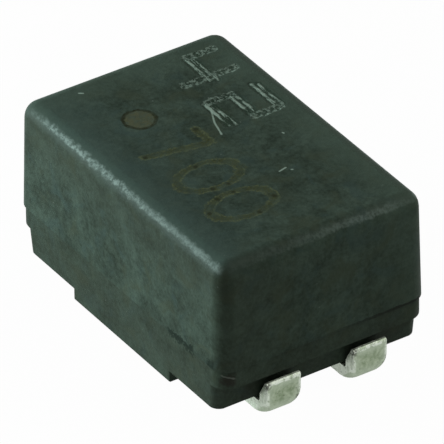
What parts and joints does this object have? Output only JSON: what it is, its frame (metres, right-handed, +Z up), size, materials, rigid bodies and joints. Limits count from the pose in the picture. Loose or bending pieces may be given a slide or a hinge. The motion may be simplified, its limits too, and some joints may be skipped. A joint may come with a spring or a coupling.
{
  "type": "common mode choke",
  "caption": "Surface-mount common mode choke: a wound ferrite ring in a moulded cap and base with turned-up solder terminals.",
  "frame": {"origin": "centre of the seat plane, which is the plane of the four solder feet", "axes": "+X along the case's long side towards the end that the picture shows, +Y across it, +Z up from the seat plane to the flat top"},
  "size_m": [0.0094, 0.006, 0.0048],
  "materials": {
    "cap_plastic": "fine-grained dark grey-green moulding compound",
    "base_plastic": "fine-grained dark grey-green moulding compound",
    "ferrite": "coated sintered ferrite",
    "enamelled_wire": "clear enamel over copper",
    "adhesive": "cured epoxy",
    "tinned_strip": "matt tin over bronze",
    "solder": "satin solder"
  },
  "bodies": {
    "root": {"cap": "cap_plastic", "base": "base_plastic", "ring_core": "ferrite", "winding_a": "enamelled_wire", "winding_b": "enamelled_wire", "core_bond": "adhesive", "cap_bond": "adhesive", "terminal_1": "tinned_strip", "terminal_2": "tinned_strip", "terminal_3": "tinned_strip", "terminal_4": "tinned_strip", "solder_joint_1": "solder", "solder_joint_2": "solder", "solder_joint_3": "solder", "solder_joint_4": "solder"}
  },
  "joints": []
}
